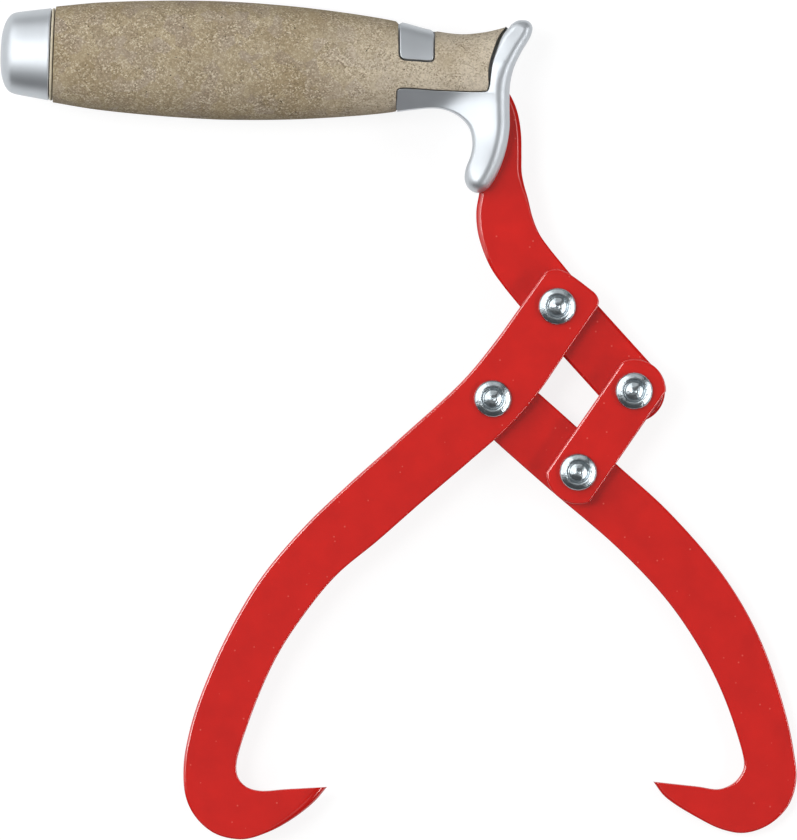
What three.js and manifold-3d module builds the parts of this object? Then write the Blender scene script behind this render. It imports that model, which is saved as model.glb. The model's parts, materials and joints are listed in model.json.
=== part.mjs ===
// Log lifting tongs: two hooked steel arms and a short link swing on a handle arm, so that the
// hooks close on a log when the tongs are lifted. The arms are flat plates in two layers, joined
// by four rivets. The handle is a cast guard, a cork grip and a cast cap clamped on a tang.
// Millimetres. The plates are drawn in the tool plane, with the main pivot at its origin, and
// the finished tongs are then laid down as they rest on a flat surface, with +Z up.
import * as THREE from 'three';
import { mergeVertices } from 'three/addons/utils/BufferGeometryUtils.js';
import Module from 'manifold-3d';

// Linkage: spans between pivot centres, and the directions of two bars at rest
const upperBarSpan = 36.5;
const lowerBarSpan = 36;
const leftBarSpan = 36;
const linkSpan = 31.5;
const upperBarDirection = THREE.MathUtils.degToRad(-47.8);
const leftBarDirection = THREE.MathUtils.degToRad(-125);

// Clearances: between the plate layers, round a shank, in the loose hole, under a rivet's head,
// between what the handle holds, and round the nut inside the cap
const plateGap = 0.3;
const shankClearance = 0.25;
const looseClearance = 1.6;
const seatGap = 0.1;
const fitGap = 0.3;
const capBoreClearance = 1;

// Plates
const plateThickness = 5;
const leftArmReach = 119.5;
const leftArmDrop = 170.5;
const rightArmReach = 97.2;
const rightArmDrop = 139;
const linkWidth = 16.8;
const linkEndCrown = 1.8;
const armOuterWidth = 9.9;
const armInnerWidth = 9.3;
const armEndCrown = 0.1;

// Rivets: the shank is turned over into a domed head with a dimple at its centre
const shankDiameter = 7;
const headDiameter = 12;
const headHeight = 2.7;
const headRimHeight = 0.7;
const dimpleDiameter = 6.4;
const dimpleDepth = 1.2;
const tailHeight = 2.2;

// Handle: its axis meets the guard at a point set back and up from the main pivot
const handleSetback = 21.54;
const handleRise = 75.74;
const handleLean = THREE.MathUtils.degToRad(-2.06);
const gripLength = 139.5;
const gripHeight = 38;
const gripDepth = 30;
const ovalness = 2.3;

// Guard casting
const guardSpan = 43.2;
const guardHeight = 55;
const guardDepth = 26;
const guardRounding = 3.2;
const guardEdge = 2.2;
const coreDepth = 16;
const coreHeight = 13;
const coreLength = 30;

// Tang and what it clamps: the stud on its end takes a washer and a nut inside the cap
const tangHeight = 11;
const tangStraightStart = 23.5;
const shoulderCover = 10.5;
const studDiameter = 6;
const studProtrusion = 1.5;
const ringThickness = 0.8;
const washerDiameter = 16;
const washerThickness = 1.2;
const nutAcrossFlats = 10;
const nutThickness = 5;
const capLength = 15.9;
const capStep = 0.6;

// How finely round shapes are cut, and the distance below which two points are one
const stepsPerPoint = 4;
const guardSteps = 2;
const domeSteps = 5;
const tailSteps = 4;
const nutSides = 6;
const roundSegments = 24;
const ovalSegments = 32;
const bevelSegments = 3;
const samePoint = 0.0003;
const shortestEdge = 0.03;

const red = { color: 0xd22c22, roughness: 0.32, metalness: 0 };
const zinc = { color: 0xc3c8cc, roughness: 0.25, metalness: 1 };
const castMetal = { color: 0xc9ccd2, roughness: 0.35, metalness: 0.8 };
const cork = { color: 0x9c8a6b, roughness: 0.85, metalness: 0 };
const cream = { color: 0xd8cdb0, roughness: 0.8, metalness: 0 };
const steel = { color: 0x9a9da1, roughness: 0.4, metalness: 1 };

const wasm = await Module();
wasm.setup();

// Pivot centres in the tool plane
function polar(origin, length, direction) {
  return [origin[0] + length * Math.cos(direction), origin[1] + length * Math.sin(direction)];
}

// The lower one of the two points at the given distances from two centres
function jointOf(centreOne, lengthOne, centreTwo, lengthTwo) {
  const dx = centreTwo[0] - centreOne[0];
  const dy = centreTwo[1] - centreOne[1];
  const span = Math.hypot(dx, dy);
  const along = (lengthOne ** 2 - lengthTwo ** 2 + span ** 2) / (2 * span);
  const aside = Math.sqrt(lengthOne ** 2 - along ** 2);
  return [
    centreOne[0] + (along * dx + aside * dy) / span,
    centreOne[1] + (along * dy - aside * dx) / span,
  ];
}

const mainPivot = [0, 0];
const linkPivot = polar(mainPivot, upperBarSpan, upperBarDirection);
const crossPivot = polar(mainPivot, leftBarSpan, leftBarDirection);
const openPivot = jointOf(crossPivot, lowerBarSpan, linkPivot, linkSpan);
const frontLayer = plateGap / 2;
const backLayer = -plateGap / 2 - plateThickness;
const handleMiddle = backLayer + plateThickness / 2;
const guardPoint = [-handleSetback, handleRise];

// Places along the handle axis, counted from the guard point towards the cap
const tangShoulder = shoulderCover - gripLength;
const studRoot = tangShoulder + shoulderCover;
const washerSeat = -gripLength - fitGap;
const nutSeat = washerSeat - washerThickness - fitGap;
const studEnd = nutSeat - nutThickness - studProtrusion;
const capSeat = -gripLength - ringThickness - 2 * fitGap;

// Outlines: points are [x, y] in the tool plane
function smooth(points, steps = stepsPerPoint) {
  const through = points.map(([x, y]) => new THREE.Vector3(x, y, 0));
  const curve = new THREE.CatmullRomCurve3(through, false, 'centripetal');
  return curve.getPoints((points.length - 1) * steps).map((point) => [point.x, point.y]);
}

function fromShares(shares, width, height, origin) {
  return shares.map(([x, y]) => [origin[0] + x * width, origin[1] + y * height]);
}

function arcPoints(centre, radius, start, end, steps) {
  const turn = (end - start) / steps;
  return Array.from({ length: steps + 1 }, (_, i) => polar(centre, radius, start + turn * i));
}

function ringPoints(centre, radius, sides) {
  return arcPoints(centre, radius, 0, Math.PI * 2, sides).slice(0, -1);
}

// Moves a closed outline outward by a distance, each point along the mean of its two edge normals.
// At a sharp corner a point moves at most the distance over this share.
const sharpCornerShare = 0.5;

function grown(points, distance) {
  const turnsLeft = THREE.ShapeUtils.area(points.map(([x, y]) => new THREE.Vector2(x, y))) > 0;
  const side = turnsLeft ? distance : -distance;
  return points.map((point, i) => {
    const before = points[(i + points.length - 1) % points.length];
    const after = points[(i + 1) % points.length];
    const inward = new THREE.Vector2(point[0] - before[0], point[1] - before[1]).normalize();
    const outward = new THREE.Vector2(after[0] - point[0], after[1] - point[1]).normalize();
    const normal = new THREE.Vector2(inward.y + outward.y, -inward.x - outward.x).normalize();
    const spread = Math.max(normal.dot(new THREE.Vector2(inward.y, -inward.x)), sharpCornerShare);
    return [point[0] + (normal.x * side) / spread, point[1] + (normal.y * side) / spread];
  });
}

function withoutRepeats(points) {
  return points.filter(([x, y], i) => {
    const before = points[(i + points.length - 1) % points.length];
    return Math.hypot(x - before[0], y - before[1]) > shortestEdge;
  });
}

function shapeOf(points) {
  return new THREE.Shape(withoutRepeats(points).map(([x, y]) => new THREE.Vector2(x, y)));
}

// A flat plate of one outline, from a level upward, with round holes given as [centre, radius]
function plate(points, holes, low, thickness = plateThickness) {
  const shape = shapeOf(points);
  for (const [centre, radius] of holes) {
    const hole = ringPoints(centre, radius, roundSegments);
    shape.holes.push(new THREE.Path(hole.map(([x, y]) => new THREE.Vector2(x, y))));
  }
  const geometry = new THREE.ExtrudeGeometry(shape, { depth: thickness, bevelEnabled: false });
  return geometry.translate(0, 0, low);
}

// Solids for cutting and joining
function solid(geometry) {
  const bare = geometry.index ? geometry.toNonIndexed() : geometry.clone();
  bare.deleteAttribute('normal');
  bare.deleteAttribute('uv');
  const merged = mergeVertices(bare, samePoint);
  return new wasm.Manifold(new wasm.Mesh({
    numProp: 3,
    vertProperties: new Float32Array(merged.attributes.position.array),
    triVerts: new Uint32Array(merged.index.array),
  }));
}

function geometryOf(body) {
  const mesh = body.getMesh();
  const geometry = new THREE.BufferGeometry();
  geometry.setAttribute('position', new THREE.BufferAttribute(new Float32Array(mesh.vertProperties), 3));
  geometry.setIndex(new THREE.BufferAttribute(new Uint32Array(mesh.triVerts), 1));
  return geometry;
}

// A closed skin over rings of equal point counts, capped at both ends by a fan
function loft(rings) {
  const count = rings[0].length;
  const positions = rings.flat();
  const middle = (ring) => ring.reduce((sum, p) => sum.map((v, i) => v + p[i] / count), [0, 0, 0]);
  const index = [];
  for (let r = 0; r + 1 < rings.length; r += 1) {
    for (let i = 0; i < count; i += 1) {
      const a = r * count + i;
      const b = r * count + ((i + 1) % count);
      index.push(a, b, a + count, b, b + count, a + count);
    }
  }
  const first = positions.push(middle(rings[0])) - 1;
  const last = positions.push(middle(rings.at(-1))) - 1;
  const end = (rings.length - 1) * count;
  for (let i = 0; i < count; i += 1) {
    const next = (i + 1) % count;
    index.push(first, next, i, last, end + i, end + next);
  }
  const geometry = new THREE.BufferGeometry();
  geometry.setAttribute('position', new THREE.BufferAttribute(new Float32Array(positions.flat()), 3));
  geometry.setIndex(index);
  return geometry;
}

// An oval ring square to the handle axis: a point's two sides follow a superellipse
function ovalRing(along, halfHeight, halfDepth) {
  return Array.from({ length: ovalSegments }, (_, i) => {
    const angle = (i / ovalSegments) * Math.PI * 2;
    const bend = (v) => Math.sign(v) * Math.abs(v) ** (2 / ovalness);
    return [along, halfHeight * bend(Math.cos(angle)), halfDepth * bend(Math.sin(angle))];
  });
}

// Places what is drawn along the handle axis, with zero at the guard, in the tool plane
function onHandle(geometry) {
  return geometry.rotateZ(handleLean).translate(guardPoint[0], guardPoint[1], handleMiddle);
}

// Left hook arm
const leftTopShares = [
  [-0.042, 0.056], [-0.029, 0.066], [-0.001, 0.07], [0.027, 0.063], [0.081, 0.036],
  [0.104, 0.022], [0.111, 0.01], [0.108, -0.001],
];
const leftInnerShares = [
  [0.108, -0.001], [0.015, -0.095], [-0.05, -0.161], [-0.124, -0.221], [-0.239, -0.293],
  [-0.368, -0.37], [-0.48, -0.439], [-0.591, -0.504], [-0.681, -0.581], [-0.754, -0.661],
  [-0.822, -0.772], [-0.859, -0.862], [-0.852, -0.886], [-0.831, -0.901], [-0.796, -0.908],
  [-0.724, -0.905], [-0.616, -0.901],
];
const leftOuterShares = [
  [-0.616, -0.901], [-0.652, -0.93], [-0.713, -0.963], [-0.775, -0.986], [-0.842, -0.999],
  [-0.914, -0.989], [-0.966, -0.959], [-0.994, -0.92], [-1, -0.86], [-0.981, -0.787],
  [-0.946, -0.714], [-0.879, -0.61], [-0.791, -0.507], [-0.676, -0.412], [-0.563, -0.336],
  [-0.424, -0.249], [-0.253, -0.139], [-0.17, -0.069], [-0.101, -0.002], [-0.042, 0.056],
];

function leftArm() {
  const run = (shares) => smooth(fromShares(shares, leftArmReach, leftArmDrop, mainPivot));
  const outline = [...run(leftTopShares), ...run(leftInnerShares), ...run(leftOuterShares)];
  const holeRadius = shankDiameter / 2 + shankClearance;
  return plate(outline, [[mainPivot, holeRadius], [crossPivot, holeRadius]], frontLayer);
}

// Right hook arm
const rightInnerShares = [
  [-0.064, -0.052], [0.017, -0.104], [0.192, -0.212], [0.407, -0.341], [0.565, -0.457],
  [0.667, -0.558], [0.743, -0.657], [0.8, -0.762], [0.828, -0.841], [0.821, -0.861],
  [0.795, -0.884], [0.746, -0.899], [0.674, -0.893], [0.529, -0.882],
];
const rightOuterShares = [
  [0.529, -0.882], [0.568, -0.917], [0.677, -0.966], [0.756, -0.992], [0.828, -1],
  [0.907, -0.982], [0.972, -0.939], [1, -0.88], [0.991, -0.809], [0.958, -0.707],
  [0.876, -0.546], [0.76, -0.407], [0.578, -0.259], [0.41, -0.152], [0.275, -0.064],
  [0.163, 0.006], [0.078, 0.058],
];
const rightTopShares = [
  [0.078, 0.058], [0.025, 0.067], [-0.028, 0.063], [-0.074, 0.041], [-0.095, 0.011],
  [-0.09, -0.022], [-0.064, -0.052],
];

function rightArm() {
  const run = (shares) => smooth(fromShares(shares, rightArmReach, rightArmDrop, crossPivot));
  const outline = [...run(rightInnerShares), ...run(rightOuterShares), ...run(rightTopShares)];
  const holeRadius = shankDiameter / 2 + shankClearance;
  const openRadius = shankDiameter / 2 + looseClearance;
  return plate(outline, [[crossPivot, holeRadius], [openPivot, openRadius]], backLayer);
}

// Short link: two straight sides and a round end about each pivot
function shortLink() {
  const direction = Math.atan2(openPivot[1] - linkPivot[1], openPivot[0] - linkPivot[0]);
  const linkEndRadius = linkWidth / 2 + linkEndCrown;
  const half = Math.asin(linkWidth / 2 / linkEndRadius);
  const holeRadius = shankDiameter / 2 + shankClearance;
  const roundEnd = (centre, facing) => (
    arcPoints(centre, linkEndRadius, facing - half, facing + half, roundSegments / 2)
  );
  const outline = [...roundEnd(openPivot, direction), ...roundEnd(linkPivot, direction + Math.PI)];
  return plate(outline, [[linkPivot, holeRadius], [openPivot, holeRadius]], frontLayer);
}

// Handle arm: a bar between its pivots, a swan neck, and the tang inside the handle
const neckInnerShares = [
  [-0.569, 0.006], [-0.792, 0.084], [-0.978, 0.159], [-1.111, 0.244], [-1.186, 0.324],
  [-1.202, 0.404], [-1.16, 0.48], [-1.119, 0.569], [-1.126, 0.662], [-1.186, 0.747],
  [-1.29, 0.823], [-1.46, 0.885],
];
const neckOuterShares = [
  [-1.297, 1.048], [-1.03, 1.013], [-0.836, 0.954], [-0.707, 0.899], [-0.631, 0.856],
  [-0.572, 0.801], [-0.535, 0.725], [-0.53, 0.641], [-0.527, 0.569], [-0.495, 0.518],
  [-0.435, 0.457], [-0.361, 0.373], [-0.257, 0.303], [-0.094, 0.238],
];

function handlePoint(along, up) {
  const cos = Math.cos(handleLean);
  const sin = Math.sin(handleLean);
  return [guardPoint[0] + along * cos - up * sin, guardPoint[1] + along * sin + up * cos];
}

function handleArmOutline() {
  const across = upperBarDirection + Math.PI / 2;
  const neck = (shares) => fromShares(shares, handleSetback, handleRise, mainPivot);
  const inner = [
    polar(linkPivot, armInnerWidth, across + Math.PI),
    polar(mainPivot, armInnerWidth, across + Math.PI),
    ...smooth([...neck(neckInnerShares), handlePoint(-tangStraightStart, -tangHeight / 2)]),
  ];
  const tang = [
    handlePoint(tangShoulder, -tangHeight / 2),
    handlePoint(tangShoulder, tangHeight / 2),
  ];
  const outer = [
    ...smooth([handlePoint(-tangStraightStart, tangHeight / 2), ...neck(neckOuterShares)]),
    polar(mainPivot, armOuterWidth, across),
  ];
  const armEndRadius = Math.max(armOuterWidth, armInnerWidth) + armEndCrown;
  const start = across - Math.acos(armOuterWidth / armEndRadius);
  const end = across - Math.PI + Math.acos(armInnerWidth / armEndRadius);
  const tip = arcPoints(linkPivot, armEndRadius, start, end, roundSegments / 2);
  return [...inner, ...tang, ...outer, ...tip];
}

// A round bar along the handle axis between two places
function axialBar(diameter, from, to) {
  const bar = new THREE.CylinderGeometry(diameter / 2, diameter / 2, Math.abs(to - from), roundSegments);
  return solid(onHandle(bar.rotateZ(Math.PI / 2).translate((from + to) / 2, 0, 0)));
}

function handleArm() {
  const holeRadius = shankDiameter / 2 + shankClearance;
  const bar = plate(handleArmOutline(), [[mainPivot, holeRadius], [linkPivot, holeRadius]], backLayer);
  return geometryOf(solid(bar).add(axialBar(studDiameter, studRoot, studEnd)));
}

// The room that the arm and its stud take inside the handle
function tangSlot(gap) {
  const bar = plate(grown(handleArmOutline(), gap), [], backLayer - gap, plateThickness + 2 * gap);
  return solid(bar).add(axialBar(studDiameter + 2 * gap, studRoot, studEnd));
}

// Rivets: a lathe profile from the dimple's centre round the head and the shank to the tail
function rivet(centre) {
  const top = frontLayer + plateThickness + seatGap;
  const bottom = backLayer - seatGap;
  const headRadius = headDiameter / 2;
  const dimpleRadius = dimpleDiameter / 2;
  const dome = Array.from({ length: domeSteps + 1 }, (_, i) => {
    const angle = (i / domeSteps) * Math.PI / 2;
    return [
      dimpleRadius + (headRadius - dimpleRadius) * Math.cos(angle),
      top + headRimHeight + (headHeight - headRimHeight) * Math.sin(angle),
    ];
  });
  const tail = Array.from({ length: tailSteps }, (_, i) => {
    const angle = (i / tailSteps) * Math.PI / 2;
    return [
      headRadius * Math.cos(angle),
      bottom - headRimHeight - (tailHeight - headRimHeight) * Math.sin(angle),
    ];
  });
  const profile = [
    [0, bottom - tailHeight], ...tail.reverse(), [headRadius, bottom], [shankDiameter / 2, bottom],
    [shankDiameter / 2, top], [headRadius, top], ...dome, [0, top + headHeight - dimpleDepth],
  ];
  const points = profile.map(([x, y]) => new THREE.Vector2(x, y));
  const geometry = new THREE.LatheGeometry(points, roundSegments);
  return geometry.rotateX(Math.PI / 2).translate(centre[0], centre[1], 0);
}

// Grip: an oval spindle that narrows to a neck and flares again at the guard
const gripShares = [
  [0, 0.811, 0.82], [0.1, 0.905, 0.9], [0.247, 0.976, 0.97], [0.369, 1, 1], [0.424, 0.995, 1],
  [0.488, 0.979, 0.99], [0.568, 0.945, 0.96], [0.67, 0.876, 0.91], [0.754, 0.8, 0.86], [0.8, 0.74, 0.83],
  [0.867, 0.632, 0.79], [0.931, 0.589, 0.78], [0.977, 0.626, 0.8], [1.018, 0.7, 0.82],
  [1.043, 0.763, 0.84], [1.08, 0.87, 0.86],
];

function gripEnvelope() {
  return onHandle(loft(gripShares.map(([along, height, depth]) => (
    ovalRing((along - 1) * gripLength, (height * gripHeight) / 2, (depth * gripDepth) / 2)
  ))));
}

// Guard casting: the guard with its finger rest, a rest and a saddle flush with the grip, and a core
const guardShares = [
  [0.156, 0.26], [0.2, 0.282], [0.247, 0.286], [0.287, 0.278], [0.313, 0.247],
  [0.306, 0.205], [0.237, 0.111], [0.178, 0.012], [0.148, -0.093], [0.144, -0.215],
  [0.143, -0.355], [0.107, -0.5], [0.044, -0.623], [-0.022, -0.695], [-0.093, -0.714],
  [-0.156, -0.689], [-0.185, -0.64], [-0.181, -0.582], [-0.142, -0.495], [-0.129, -0.425],
  [-0.146, -0.346], [-0.211, -0.276], [-0.289, -0.236], [-0.385, -0.215],
];
const guardRootShares = [[-0.45, -0.19], [-0.45, 0.1], [-0.2, 0.2], [0, 0.3]];
const partingShares = [
  [0.215, 0.349], [0.156, 0.259], [0.096, 0.198], [0.059, 0.134], [0.019, 0.035], [0, -0.076],
];
const restTopShares = [
  [-0.006, -0.108], [-0.019, -0.127], [-0.048, -0.133], [-0.37, -0.126], [-0.663, -0.115],
];
const underRestShares = [[-0.663, -1], [1, -1], [1, 1]];
const restOutlineShares = [
  [-0.687, -1], [-0.687, -0.14], [-0.684, -0.123], [-0.663, -0.115], [-0.37, -0.126],
  [-0.048, -0.133], [0, -0.133], [0, -1],
];
const saddleOutlineShares = [
  [-0.667, 1], [-0.667, 0.07], [-0.652, 0.058], [-0.433, 0.049], [-0.419, 0.061], [-0.419, 1],
];
const fingerSpanShares = [[0, -0.215], [0, -0.714]];
const fingerDepthShare = 0.62;
const rootDepthShare = 0.55;
const coreDropShare = 0.14;

function guardPoints(shares) {
  return fromShares(shares, guardSpan, guardHeight, guardPoint);
}

// The guard's depth tapers down the finger rest and towards its root under the grip
function taperDepth(geometry) {
  const position = geometry.attributes.position;
  const [rootLeft, rootRight] = [guardPoints([guardShares.at(-1)])[0][0], guardPoint[0]];
  const [fingerTop, fingerLow] = guardPoints(fingerSpanShares).map((point) => point[1]);
  for (let i = 0; i < position.count; i += 1) {
    const down = THREE.MathUtils.smoothstep(fingerTop - position.getY(i), 0, fingerTop - fingerLow);
    const left = THREE.MathUtils.smoothstep(rootRight - position.getX(i), 0, rootRight - rootLeft);
    const share = (1 - (1 - fingerDepthShare) * down) * (1 - (1 - rootDepthShare) * left);
    position.setZ(i, position.getZ(i) * share);
  }
  return geometry;
}

function guardBlank() {
  const outline = [...smooth(guardPoints(guardShares), guardSteps), ...guardPoints(guardRootShares)];
  const blank = new THREE.ExtrudeGeometry(shapeOf(outline), {
    depth: guardDepth - 2 * guardRounding,
    bevelEnabled: true,
    bevelThickness: guardRounding,
    bevelSize: guardEdge,
    bevelOffset: -guardEdge,
    bevelSegments,
  });
  blank.translate(0, 0, guardRounding - guardDepth / 2);
  return solid(taperDepth(blank).translate(0, 0, handleMiddle));
}

// Prisms through the handle's whole depth, drawn on the casting's own edges and moved by a gap
function throughPrism(shares, gap) {
  return solid(plate(grown(guardPoints(shares), gap), [], handleMiddle - gripDepth, 2 * gripDepth));
}

function saddlePrism(gap) {
  return throughPrism(saddleOutlineShares, gap);
}

function restPrism(gap) {
  return throughPrism(restOutlineShares, gap);
}

function guardSidePrism(gap) {
  return throughPrism([...partingShares, ...restTopShares, ...underRestShares], gap);
}

function coreBlock(gap) {
  const core = new THREE.BoxGeometry(coreLength + 2 * gap, coreHeight + 2 * gap, coreDepth + 2 * gap);
  const middleHeight = coreHeight / 2 - coreDropShare * guardHeight;
  core.translate(guardPoint[0] - coreLength / 2, guardPoint[1] + middleHeight, handleMiddle);
  return solid(core);
}

function guardCasting() {
  const envelope = solid(gripEnvelope());
  const guard = guardBlank().intersect(guardSidePrism(0));
  const rest = envelope.intersect(restPrism(0));
  const saddle = envelope.intersect(saddlePrism(0));
  const casting = guard.add(rest).add(saddle).add(coreBlock(0));
  return geometryOf(casting.subtract(tangSlot(fitGap)));
}

function corkGrip() {
  const envelope = solid(gripEnvelope());
  const around = envelope.subtract(guardSidePrism(fitGap)).subtract(restPrism(fitGap));
  const notched = around.subtract(saddlePrism(fitGap)).subtract(coreBlock(fitGap));
  return geometryOf(notched.subtract(tangSlot(fitGap)));
}

// Ring, washer and nut round the stud. The washer lies inside the ring, against the grip's end
const [, endHeightShare, endDepthShare] = gripShares[0];
const capHeight = endHeightShare * gripHeight - 2 * capStep;
const capDepth = endDepthShare * gripDepth - 2 * capStep;

function capRing() {
  const places = [washerSeat - ringThickness, washerSeat];
  const rings = places.map((along) => ovalRing(along, capHeight / 2, capDepth / 2));
  const hole = axialBar(washerDiameter + 2 * fitGap, capSeat, -gripLength);
  return geometryOf(solid(onHandle(loft(rings))).subtract(hole));
}

function discOnStud(outerRadius, sides, thickness, near) {
  const bore = studDiameter / 2 + shankClearance;
  const disc = plate(ringPoints([0, 0], outerRadius, sides), [[[0, 0], bore]], 0, thickness);
  return onHandle(disc.rotateY(-Math.PI / 2).translate(near, 0, 0));
}

function tangWasher() {
  return discOnStud(washerDiameter / 2, roundSegments, washerThickness, washerSeat);
}

function tangNut() {
  return discOnStud(nutAcrossFlats / 2 / Math.cos(Math.PI / nutSides), nutSides, nutThickness, nutSeat);
}

// End cap: an oval dome, hollow for the nut
const capShares = [
  [0, 1], [0.35, 0.945], [0.69, 0.885], [0.78, 0.85], [0.85, 0.78], [0.91, 0.67], [0.96, 0.5],
  [0.988, 0.3], [1, 0.1],
];

function endCap() {
  const rings = capShares.map(([along, size]) => (
    ovalRing(capSeat - along * capLength, (size * capHeight) / 2, (size * capDepth) / 2)
  ));
  const dome = solid(onHandle(loft(rings.reverse())));
  const bore = axialBar(washerDiameter + 2 * capBoreClearance, studEnd - capBoreClearance, -gripLength);
  return geometryOf(dome.subtract(bore));
}

// The tongs
function piece(name, geometry, finish) {
  const mesh = new THREE.Mesh(geometry, new THREE.MeshStandardMaterial(finish));
  mesh.name = name;
  return mesh;
}

const tool = new THREE.Group();
tool.add(
  piece('handle_arm', handleArm(), red),
  piece('left_hook_arm', leftArm(), red),
  piece('right_hook_arm', rightArm(), red),
  piece('short_link', shortLink(), red),
  piece('rivet_handle_left', rivet(mainPivot), zinc),
  piece('rivet_left_right', rivet(crossPivot), zinc),
  piece('rivet_handle_link', rivet(linkPivot), zinc),
  piece('rivet_link_right', rivet(openPivot), zinc),
  piece('guard_casting', guardCasting(), castMetal),
  piece('cork_grip', corkGrip(), cork),
  piece('cap_ring', capRing(), cream),
  piece('tang_washer', tangWasher(), steel),
  piece('tang_nut', tangNut(), steel),
  piece('end_cap', endCap(), castMetal),
);

// Laid down, the tongs stand on two rows of the grip's belly and on the heel of the right hook.
// The plane through these is turned level, and the box's bottom centre becomes the origin.
function undersideOfGrip([along, , depth]) {
  const [x, y] = handlePoint((along - 1) * gripLength, 0);
  return new THREE.Vector3(x, y, handleMiddle - (depth * gripDepth) / 2);
}

const heelShares = [0.883, -0.989];
const [[heelX, heelY]] = fromShares([heelShares], rightArmReach, rightArmDrop, crossPivot);
const heel = new THREE.Vector3(heelX, heelY, backLayer);
const [nextRow, bellyRow] = gripShares.slice(4, 6).map(undersideOfGrip).reverse();
const standing = new THREE.Plane().setFromCoplanarPoints(heel, nextRow, bellyRow);
const up = new THREE.Vector3(0, 0, 1);
tool.quaternion.setFromUnitVectors(standing.normal, up);

const tongs = new THREE.Group();
tongs.add(tool);
tongs.updateMatrixWorld(true);
const box = new THREE.Box3().setFromObject(tool, true);
const middle = box.getCenter(new THREE.Vector3());
tool.position.set(-middle.x, -middle.y, -box.min.z);

export default tongs;
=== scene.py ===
# Log lifting tongs: two hooked arms and a short link riveted to a handle arm, with a cast guard,
# a pressed cork grip and a cast end cap. Sizes are millimetres in the tool plane, which has the
# main pivot at its origin, x to the right and y up in the picture, and z towards the viewer.
import json
import bpy
import numpy as np
from mathutils import Matrix, Vector
from mathutils.geometry import delaunay_2d_cdt


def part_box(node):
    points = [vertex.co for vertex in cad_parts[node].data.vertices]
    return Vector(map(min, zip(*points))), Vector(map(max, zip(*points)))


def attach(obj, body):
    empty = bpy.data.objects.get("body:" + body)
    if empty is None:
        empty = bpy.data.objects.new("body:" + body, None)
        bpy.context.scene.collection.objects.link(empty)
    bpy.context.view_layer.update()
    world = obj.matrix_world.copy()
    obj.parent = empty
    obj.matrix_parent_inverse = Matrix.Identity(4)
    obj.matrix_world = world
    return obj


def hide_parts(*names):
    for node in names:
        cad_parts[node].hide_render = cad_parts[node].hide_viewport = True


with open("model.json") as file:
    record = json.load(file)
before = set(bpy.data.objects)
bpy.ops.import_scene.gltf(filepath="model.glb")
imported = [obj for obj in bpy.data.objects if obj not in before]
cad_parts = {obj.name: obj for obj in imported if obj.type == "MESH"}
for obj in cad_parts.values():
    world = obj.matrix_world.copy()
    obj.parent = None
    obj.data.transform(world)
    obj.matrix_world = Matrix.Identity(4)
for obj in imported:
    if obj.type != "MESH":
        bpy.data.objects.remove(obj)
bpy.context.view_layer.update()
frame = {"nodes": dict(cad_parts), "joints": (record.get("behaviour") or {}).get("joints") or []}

# Tool plane and camera
# The tongs lie on the grip's belly and on the heel of one hook, so the plates are tilted a little
# to the ground. The camera looks square to the plates from far off, as in the photograph.
MILLIMETRE = 0.001
joints = {joint["name"]: joint for joint in frame["joints"]}
plate_normal = -Vector(joints["left_arm_pivot"]["axis"]).normalized()
tilt = np.array(Vector((0, 0, 1)).rotation_difference(plate_normal).to_matrix())
main_pivot_place = np.array(joints["left_arm_pivot"]["pos_m"])


def laid_down(points):
    """From the tool plane to the frame, in metres: tilt times the point, plus the main pivot's place."""
    return np.asarray(points, float) * MILLIMETRE @ tilt.T + main_pivot_place


def in_tool_plane(place):
    """From the frame to the tool plane's x and y: the inverse of laid_down."""
    return ((np.array(place) - main_pivot_place) @ tilt / MILLIMETRE)[:2]


picture_middle = (-50.8, -36.3)
picture_height = 268.8
camera_distance = 4000

camera = bpy.data.objects.new("camera", bpy.data.cameras.new("camera"))
bpy.context.scene.collection.objects.link(camera)
bpy.context.scene.camera = camera
camera.data.lens = camera.data.sensor_width * camera_distance / picture_height
camera_place = Matrix.Translation(laid_down([*picture_middle, camera_distance]))
camera.matrix_world = camera_place @ Matrix(tilt).to_4x4()

# Handle arm
# A flat laser-cut steel bar with two pivot holes, a swan neck and a tang that runs on inside the
# handle to a threaded stud. Its edges are ground to a soft chamfer, and all of it is powder coated.
main_pivot = np.zeros(2)
cross_pivot = in_tool_plane(joints["right_arm_pivot"]["pos_m"])
link_pivot = in_tool_plane(joints["link_pivot"]["pos_m"])
open_pivot = in_tool_plane((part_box("rivet_link_right")[0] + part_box("rivet_link_right")[1]) / 2)
plate_thickness = 5
plate_gap = 0.3
front_middle = (plate_gap + plate_thickness) / 2
back_middle = -front_middle
hole_radius = 3.75
plate_rounding = 0.9
neck_rounding = 1.5
rounding_depth_share = 0.55
neck_depth_share = 0.75
hole_rounding = 0.3
arm_outer_width = 9.9
arm_inner_width = 9.3
arm_end_radius = 10
guard_point = np.array([-21.54, 75.74])
handle_lean = np.radians(-2.06)
tang_half_height = 5.5
tang_straight_start = -23.5
grip_length = 139.5
tang_shoulder = 10.5 - grip_length
stud_radius = 3
stud_end = -147.8
stud_root = 1
thread_depth = 0.4
thread_pitch = 1.0
thread_lead_in = 0.5
near_axis = 0.1
ROUND_STEPS = 48

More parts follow.
